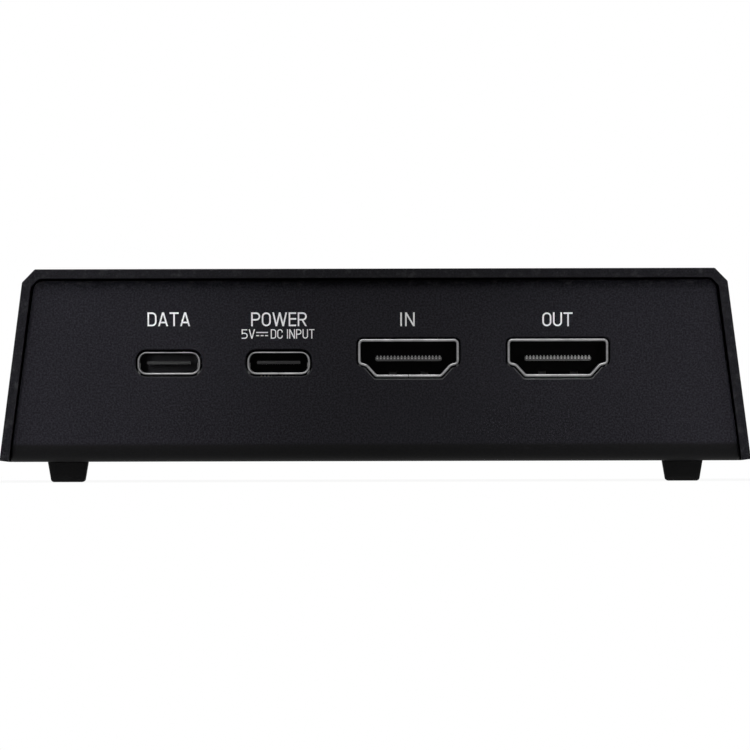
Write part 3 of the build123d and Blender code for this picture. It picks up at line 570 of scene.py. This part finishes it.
def spring(middle, front_y, floor_z):
    """A bowed strip: at the share t of its length its top is sin(pi t)^1.5 of the spring's height
    over the floor, and its section is as thick as its sheet."""
    share = np.linspace(0, 1, 25)
    rise = spring_height * np.sin(np.pi * share) ** 1.5
    y = front_y + spring_inset + spring_length * share
    z = floor_z - spring_sheet + rise
    across = np.array([-1, 1, 1, -1]) * spring_width / 2 + middle
    up = np.array([0, 0, 1, 1]) * spring_sheet
    grid = np.zeros((len(share), 4, 3))
    grid[..., 0] = across
    grid[..., 1] = y[:, None]
    grid[..., 2] = z[:, None] + up
    return skin(grid, False)


for name in ("video_in", "video_out"):
    low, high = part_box(f"{name}_shell")
    middle = middle_x[name]
    right = np.array(
        [
            (video_floor_width / 2, 0.0),
            (video_width / 2 - step_inset, step_height),
            (video_width / 2, side_height),
            (video_width / 2, video_height),
        ]
    )
    mouth = np.concatenate([right, right[::-1] * [-1, 1]]) + [middle, video_floor_z]
    outer_radius = video_radius + rim_width
    radii = [outer_radius, step_radius, outer_radius, outer_radius]
    line = outline(grown(mouth, rim_width), radii + radii[::-1])
    ring = swept_shell(with_seam(line), rim_width, low.y, high.y)
    springs = [spring(middle + hand * spring_spacing / 2, low.y, video_floor_z) for hand in (-1, 1)]
    skins = [skin(ring, False)] + legs(name, line, video_floor_z + video_height / 2) + springs
    piece(f"{name}_rolled_shell", skins, steel, f"{name}_shell")


# Tongue noses: the moulded front edge of each insulator's tongue, which caps the ends of the
# contacts. On a video socket its upper edge is notched, so that a row of nineteen rounded tips
# stands over the contacts.
def nose(line, front_y, rear_y):
    """A front outline carried back, its first rings drawn in a little from each side for a rounded
    front edge."""
    middle = (line.min(0) + line.max(0)) / 2
    along = np.array([0.0, 0.00002, 0.00008, rear_y - front_y])
    drawn_in = np.array([0.00004, 0.00001, 0.0, 0.0])
    share = 1 - 2 * drawn_in[:, None] / (line.max(0) - line.min(0))
    places = middle + (line - middle)[None] * share[:, None, :]
    depth = np.broadcast_to(front_y + along[:, None, None], (4, len(line), 1))
    return skin(np.concatenate([places[..., :1], depth, places[..., 1:]], -1), False)


def notched(middle, width, low_z, high_z, corner, tips, spacing, tip_height):
    """A rounded bar seen from the front, whose top rises by tip_height cos^4 over each of its
    tips."""
    half = width / 2
    arc = np.linspace(0, np.pi / 2, 6)
    x = np.linspace(half, -half, tips * 8 + 1)
    wave = np.cos(np.pi * x / spacing) ** 4
    top = np.stack([x, high_z + tip_height * wave], 1)
    left = np.stack([corner - half - corner * np.cos(arc), low_z + corner - corner * np.sin(arc)], 1)
    right = left[::-1] * [-1, 1]
    return np.concatenate([top, left, right]) + [middle, 0.0]


def tip_plastic(middle, spacing, high_z):
    """Grey plastic, paler on the tips and on a square dot under each, where the end of its contact
    shows: a dot is where max(d, |z - dot z|) is small, for the distance d along x from the middle
    of the nearest tip."""
    finish = Finish("notched tongue nose")
    x, _, z = finish.axes()
    grain = finish.noise(0.0002, 2)
    dot_z, dot_half, dot_edge = high_z - 0.00017, 0.00005, 0.00014
    off = (x - middle).from_nearest(spacing).at_least(abs(z - dot_z))
    dot = 1 - off.step(dot_half, dot_edge)
    tip = z.step(high_z - 0.00002, high_z + 0.00006)
    share = (tip * 0.5 + dot + grain * 0.2).at_most(1.0)
    colour = finish.blend(share, (0.034, 0.034, 0.034, 1), (0.42, 0.42, 0.415, 1))
    rough = 0.55 - share * 0.15
    relief = finish.bump(grain, 0.00001, 0.4)
    return finish.paint(Base_Color=colour, Roughness=rough, Normal=relief, Specular_IOR_Level=0.15)


nose_length, nose_reach = 0.0005, 0.0001
tips, tip_spacing, tip_height = 19, 0.0005, 0.00027
tongue_low, tongue_high = video_floor_z + 0.00190, video_floor_z + 0.00246
tongue_width, tongue_corner = 0.0096, 0.00032
for name in ("video_in", "video_out"):
    tip_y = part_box(f"{name}_insulator")[0].y
    middle = middle_x[name]
    bar_size = (tongue_width, tongue_low, tongue_high, tongue_corner)
    line = notched(middle, *bar_size, tips, tip_spacing, tip_height)
    made = nose(line, tip_y - nose_reach, tip_y + nose_length)
    piece(f"{name}_tongue_nose", [made], tip_plastic(middle, tip_spacing, tongue_high))

nose_plastic = insulator_plastic("grey tongue nose", (0.026, 0.026, 0.027, 1), (0.052, 0.052, 0.052, 1))
small_tongue_low, small_tongue_high = small_floor_z + 0.00121, small_floor_z + 0.00165
small_tongue_width, small_tongue_corner = 0.00625, 0.00012
for name in ("data", "power"):
    tip_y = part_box(f"{name}_insulator")[0].y
    left, right = middle_x[name] - small_tongue_width / 2, middle_x[name] + small_tongue_width / 2
    corners = [(right, small_tongue_low), (right, small_tongue_high)]
    corners += [(left, small_tongue_high), (left, small_tongue_low)]
    line = outline(corners, [small_tongue_corner] * 4, 5)
    made = nose(line, tip_y - nose_reach, tip_y + nose_length)
    piece(f"{name}_tongue_nose", [made], nose_plastic)


# Status light and its pipe: a small resin lens soldered at the board's front edge, and a frosted
# acrylic bar that carries its glow through the front panel.
def acrylic():
    finish = Finish("frosted acrylic")
    frost = finish.noise(0.0003, 3)
    colour = finish.blend(frost, (0.70, 0.73, 0.75, 1), (0.84, 0.86, 0.88, 1))
    relief = finish.bump(frost, 0.00002, 0.5)
    finish.paint(Transmission_Weight=0.35, IOR=1.49)
    return finish.paint(Base_Color=colour, Roughness=0.38 + frost * 0.2, Normal=relief)


def lens():
    finish = Finish("diffuse lens")
    cloud = finish.noise(0.0004, 2)
    colour = finish.blend(cloud, (0.74, 0.72, 0.55, 1), (0.86, 0.84, 0.68, 1))
    relief = finish.bump(cloud, 0.00001, 0.4)
    return finish.paint(Base_Color=colour, Roughness=0.3 + cloud * 0.15, Normal=relief)


dress(["light_pipe"], acrylic())
dress(["status_light"], lens())


# Feet: black moulded rubber blocks, tapered towards the table and held by a barb through the floor.
# Mould release leaves a faint bloom, and the lowest millimetre is paler and a little smoother in clouds.
def rubber():
    finish = Finish("foot rubber")
    z = finish.axes()[2]
    grain = finish.noise(0.0003, 3, 0.6)
    bloom = finish.noise(0.003, 2)
    # Paler in clouds over the lowest millimetre.
    paler_low = (1 - z.step(0.0001, 0.0012)) * bloom.step(0.3, 0.6)
    tone = bloom * 0.3 + grain * 0.3 + paler_low * 0.4
    colour = finish.blend(tone, (0.0018, 0.0018, 0.0019, 1), (0.0066, 0.0066, 0.0068, 1))
    relief = finish.bump(grain, 0.00003, 0.5)
    rough = 0.72 - paler_low * 0.1
    return finish.paint(Base_Color=colour, Roughness=rough, Normal=relief, Specular_IOR_Level=0.08)


dress([name for name in nodes if name.startswith("foot_")], rubber())


# Cover: an upside-down trough of thicker sheet, coated like the chassis but with more of the pale
# pinpoints, which glint on its cut ends. It is worn on its ends and along its upper bends.
def cover_wear(finish):
    """Worn in patches on the outer bends of the cover and on its two ends."""
    x, y, z = finish.axes()
    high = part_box("top_cover")[1]
    end = (abs(y) - (high.y - 0.0003)).step(0.0, 0.0002) * 0.6
    top_bend = (z - (high.z - 0.00012)).step(0.0, 0.0001) * (abs(x) - (high.x - 0.0053)).step(0.0, 0.0002)
    return (end + top_bend) * patches(finish) * 0.4


dress(["top_cover"], coat("cover powder coat", 0.55, 2.6, cover_wear))


# Brackets: angles of sheet welded inside the cover's walls before it was coated, so the same coat
# runs over them. The four cover screws pull them down on the floor.
def bracket_wear(finish):
    """Worn in patches under the brackets' tapped legs, where the screws pull."""
    z = finish.axes()[2]
    low_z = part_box("cover_bracket_left")[0].z
    return (1 - z.step(low_z, low_z + 0.0004)) * patches(finish) * 0.4


dress(["cover_bracket_left", "cover_bracket_right"], coat("bracket powder coat", 0.9, 0.6, bracket_wear))


# Cover screws: countersunk steel with a black finish and a hexagonal recess, rubbed bright in
# patches. They go up through the floor into the brackets.
def black_plate():
    finish = Finish("black plated screws")
    rub = finish.noise(0.0005, 4, 0.65).step(0.55, 0.7)
    colour = finish.blend(rub, (0.018, 0.018, 0.019, 1), (0.09, 0.09, 0.088, 1))
    relief = finish.bump(rub, 0.000004, 0.5)
    return finish.paint(Base_Color=colour, Metallic=0.8, Roughness=0.42 - rub * 0.12, Normal=relief)


dress(["cover_screws"], black_plate())


# Printed words: white ink screened on the panel over each socket, in plain condensed capitals that
# say only what the socket is for, with a line for the supply's voltage under the word over the
# power socket.
def ink():
    finish = Finish("white screened ink")
    mesh_marks = finish.noise(0.0001, 2)
    tint_mask = finish.noise(0.0006, 3).step(0.30, 0.42)
    colour = finish.blend(tint_mask, (0.86, 0.86, 0.87, 1), (0.96, 0.96, 0.96, 1))
    relief = finish.bump(mesh_marks, 0.000005, 0.4)
    return finish.paint(Base_Color=colour, Roughness=0.5 + mesh_marks * 0.2, Normal=relief)


ink_face_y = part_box("chassis")[0].y
ink_thickness, layer_step = 0.000015, 0.1
bend_points = 8


def stroke(points, width, radius=0.0, closed=False, level=False, layer=0):
    """A flat band of ink along a line through the points, its corners rounded by the radius. With
    level, its two ends are cut level with the line of writing, as those of slanted strokes are.
    Each layer lies on the last."""
    points = np.array(points, float)
    if closed:
        line = outline(points, [radius] * len(points), bend_points)
    elif radius:
        bends = outline(points, [radius] * len(points), bend_points)[bend_points:-bend_points]
        line = np.concatenate([points[:1], bends, points[-1:]])
    else:
        line = points
    after = np.roll(line, -1, 0) if closed else np.append(line[1:], line[-1:], 0)
    before = np.roll(line, 1, 0) if closed else np.append(line[:1], line[:-1], 0)
    along = after - before
    normal = np.stack([along[:, 1], -along[:, 0]], 1) / np.linalg.norm(along, axis=1)[:, None]
    if level:
        normal = np.stack([1 / normal[:, 0], 0 * normal[:, 0]], 1)
    across = np.array([-1, 1, 1, -1]) * width / 2
    depth = ink_face_y - np.array([1, 1, 0, 0]) * ink_thickness * (1 + layer_step * layer)
    places = line[:, None, :] + normal[:, None, :] * across[None, :, None]
    depth = np.broadcast_to(depth[None, :, None], (len(line), 4, 1))
    return skin(np.concatenate([places[..., :1], depth, places[..., 1:]], -1), closed)


def letter(kind, left, base, high, pen, squeeze):
    """The strokes of one capital whose left edge and base line are given, and how far its right
    edge lies from its left. Each is drawn by lines and round bends through the middle of its
    strokes."""
    widths = {"I": 0.14, "E": 0.53, "T": 0.64, "W": 1.04, "A": 0.70, "V": 0.66, "N": 0.68}
    usual_width = 0.64
    width = widths.get(kind, usual_width) * high * squeeze
    near, far = left + pen / 2, left + width - pen / 2
    foot, head, middle = base + pen / 2, base + high - pen / 2, left + width / 2
    top = base + high
    waist = base + 0.47 * high
    bend = 0.98 * (far - near) / 2
    bowl = [(near, head), (far, head), (far, waist), (near, waist)]
    bowl_bend = 0.49 * (head - waist)
    levels = (foot, waist + pen / 2, head)
    bars = {
        "I": [[(near, base), (near, top)]],
        "E": [[(near, base), (near, top)]] + [[(left, z), (left + width, z)] for z in levels],
        "T": [[(middle, base), (middle, top)], [(left, head), (left + width, head)]],
        "N": [[(near, base), (near, top)], [(far, base), (far, top)]],
        "D": [[(near, base), (near, top)]],
        "P": [[(near, base), (near, top)]],
        "R": [[(near, base), (near, top)]],
        "A": [[(left + 0.2 * width, base + 0.27 * high), (left + 0.8 * width, base + 0.27 * high)]],
        "5": [[(left + 0.06 * width, head), (left + 0.92 * width, head)], [(near, top), (near, waist)]],
    }
    first_foot, last_foot = left + 0.27 * width, left + 0.73 * width
    slants = {
        "A": [[(near, base), (middle - 0.1 * pen, top)], [(far, base), (middle + 0.1 * pen, top)]],
        "V": [[(near, top), (middle, base)], [(far, top), (middle, base)]],
        "W": [
            [(near, top), (first_foot, base)],
            [(middle, top), (first_foot, base)],
            [(middle, top), (last_foot, base)],
            [(far, top), (last_foot, base)],
        ],
        "N": [[(near, top), (far, base)]],
        "R": [[(middle, waist), (far, base)]],
    }
    upper_end, lower_end, belly = base + 0.66 * high, base + 0.34 * high, base + 0.58 * high
    rounds = {
        "O": ([(far, foot), (far, head), (near, head), (near, foot)], bend, True),
        "U": ([(near, top), (near, foot), (far, foot), (far, top)], bend, False),
        "C": (
            [(far, upper_end), (far, head), (near, head), (near, foot), (far, foot), (far, lower_end)],
            bend,
            False,
        ),
        "D": ([(near, head), (far, head), (far, foot), (near, foot)], bend, False),
        "P": (bowl, bowl_bend, False),
        "R": (bowl, bowl_bend, False),
        "5": ([(near, belly), (far, belly), (far, foot), (left, foot)], 0.49 * (belly - foot), False),
    }
    straight, slanted = bars.get(kind, []), slants.get(kind, [])
    first_slant, round_layer = 4, 9
    made = [stroke(line, pen, layer=layer) for layer, line in enumerate(straight)]
    made += [stroke(line, pen, level=True, layer=layer) for layer, line in enumerate(slanted, first_slant)]
    if kind in rounds:
        points, radius, closed = rounds[kind]
        made.append(stroke(points, pen, radius, closed, layer=round_layer))
    return made, width


def word(text, left, base, high, pen, gap, space=0.0, squeeze=1.0):
    """The strokes of a word from its left edge on, and where it ends."""
    made = []
    for kind in text:
        if kind == " ":
            left += space
            continue
        strokes, width = letter(kind, left, base, high, pen, squeeze)
        made += strokes
        left += width + gap
    return made, left - gap


capital_height, capital_pen, capital_gap = 0.00200, 0.00023, 0.000225
capital_base, capital_squeeze = 0.02240, 1.02
print_fall = math.tan(math.radians(0.14))  # the screen lay a seventh of a degree off the box
words = {  # with how far each lies to the right of its socket's middle
    "data": ("DATA", 0.00001),
    "power": ("POWER", 0.00006),
    "video_in": ("IN", -0.00013),
    "video_out": ("OUT", -0.00005),
}
short_word_spread = 1.8
ink_white = ink()
for name, (text, shift) in words.items():
    gap = capital_gap * (short_word_spread if text == "IN" else 1.0)
    base = capital_base - middle_x[name] * print_fall
    look = (base, capital_height, capital_pen, gap, 0.0, capital_squeeze)
    width = word(text, 0.0, *look)[1]
    strokes = word(text, middle_x[name] + shift - width / 2, *look)[0]
    piece(f"{name}_word", strokes, ink_white)

small_look = (0.02064, 0.00136, 0.000145, 0.000155)  # base line, height, pen and gap of the small line
small_base, small_pen = small_look[0], small_look[2]
small_space, small_squeeze = 0.00046, 0.9
line_left = middle_x["power"] - 0.00533
volts, volts_end = word("5V", line_left, *small_look)
sign_left = volts_end + 0.00018
sign_right = sign_left + 0.00170
sign_high, sign_low = small_base + 0.00090, small_base + 0.00044
sign = [stroke([(sign_left, sign_high), (sign_right, sign_high)], small_pen)]
dash = (sign_right - sign_left) / 4
for start in np.linspace(sign_left, sign_right - dash, 3):
    sign.append(stroke([(start, sign_low), (start + dash, sign_low)], small_pen))
supply_left = sign_right + 0.0004
supply = word("DC INPUT", supply_left, *small_look, small_space, small_squeeze)[0]
piece("supply_words", volts + sign + supply, ink_white)


# Studio: a wide pale floor, a white surround that camera, metal and glass see, three soft lamps, two
# narrow strips beside the panel that only matt surfaces show, and a lamp overhead that only shiny
# ones do.
def lamp(name, place, size, power, target=(0.0, 0.0, 0.015), spread=180.0):
    light = bpy.data.lights.new(name, "AREA")
    light.shape = "RECTANGLE"
    light.size, light.size_y = size
    light.energy = power
    light.spread = math.radians(spread)
    made = bpy.data.objects.new(name, light)
    made.location = place
    aim = Vector(target) - made.location
    made.rotation_euler = aim.to_track_quat("-Z", "Y").to_euler()
    bpy.context.scene.collection.objects.link(made)
    return made


def seen(finish):
    """1 for the rays that show a background: straight from the camera, off metal and through
    glass."""
    kinds = finish.node("ShaderNodeLightPath").socket.node.outputs
    camera_ray, glossy_ray, transmission_ray = (
        Value(finish, kinds[name]) for name in ("Is Camera Ray", "Is Glossy Ray", "Is Transmission Ray")
    )
    return (camera_ray + glossy_ray + transmission_ray).at_most(1.0)


lamp("key", (-0.7, -1.0, 1.3), (0.5, 0.5), 8.8)
lamp("fill", (1.3, -0.9, 0.9), (0.8, 0.8), 3.2)
lamp("back", (0.2, 1.5, 1.5), (1.4, 1.0), 12.0)
left_lamp = lamp("left_strip", (-0.10, -0.36, 0.04), (0.03, 0.05), 0.012, (-0.058, -0.04, 0.015), 19.0)
right_lamp = lamp("right_strip", (0.10, -0.36, 0.04), (0.03, 0.05), 0.010, (0.058, -0.04, 0.015), 19.0)
left_lamp.visible_glossy = right_lamp.visible_glossy = False
overhead = lamp("overhead", (0.0, -0.35, 1.1), (0.9, 0.5), 11.0)
overhead.visible_diffuse = False

dim = 0.17  # the surround's strength as a light
surround = Finish("white surround", "ShaderNodeBackground", "ShaderNodeOutputWorld", bpy.data.worlds)
surround.paint(Color=(1, 1, 1, 1), Strength=dim + seen(surround) * (1 - dim))
bpy.context.scene.world = surround.material

mesh = bpy.data.meshes.new("floor")
reach = 12.0
corners = [(-reach, -reach, 0), (reach, -reach, 0), (reach, reach, 0), (-reach, reach, 0)]
mesh.from_pydata(corners, [], [(0, 1, 2, 3)])
floor = bpy.data.objects.new("floor", mesh)
bpy.context.scene.collection.objects.link(floor)
paper = Finish("white paper floor")
x, y, _ = paper.axes()
grain = paper.noise(0.002, 2)
pale = paper.blend(grain, (0.40, 0.40, 0.40, 1), (0.42, 0.42, 0.42, 1))
paper.paint(Base_Color=pale, Roughness=0.9, Specular_IOR_Level=0.0)
half_width, half_depth, shade_reach = 0.056, 0.042, 0.04
away = (abs(x) - half_width).at_least(abs(y) - half_depth).step(0.0, shade_reach)
white = paper.node("ShaderNodeEmission", {}, {"Color": (1, 1, 1, 1), "Strength": 1.0}, "Emission")
bleached = 0.93  # the share of pure white close to the box, where its soft shadow still shows
lit = seen(paper) * (bleached + away * (1 - bleached))
both = paper.node("ShaderNodeMixShader", {}, {0: lit, 1: Value(paper, paper.shader.outputs[0]), 2: white})
paper.put(paper.end.inputs["Surface"], both)
mesh.materials.append(paper.material)


# Camera: level with the middle of the box and far away behind it, with a long lens, so that the
# rear panel is seen square on. It is rolled a seventh of a degree, as the photograph is.
view_distance = 5.109
view_height = 0.01536
roll = math.radians(0.14)
camera = bpy.data.cameras.new("camera")
camera.lens = 1700.0
camera.sensor_width = 36.0
camera.clip_start = 0.5
camera.clip_end = 40.0
eye = bpy.data.objects.new("camera", camera)
eye.location = (0.0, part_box("top_cover")[0].y - view_distance, view_height)
eye.rotation_euler = (math.pi / 2, roll, 0.0)
bpy.context.scene.collection.objects.link(eye)
bpy.context.scene.camera = eye

bpy.context.scene.view_settings.view_transform = "Standard"
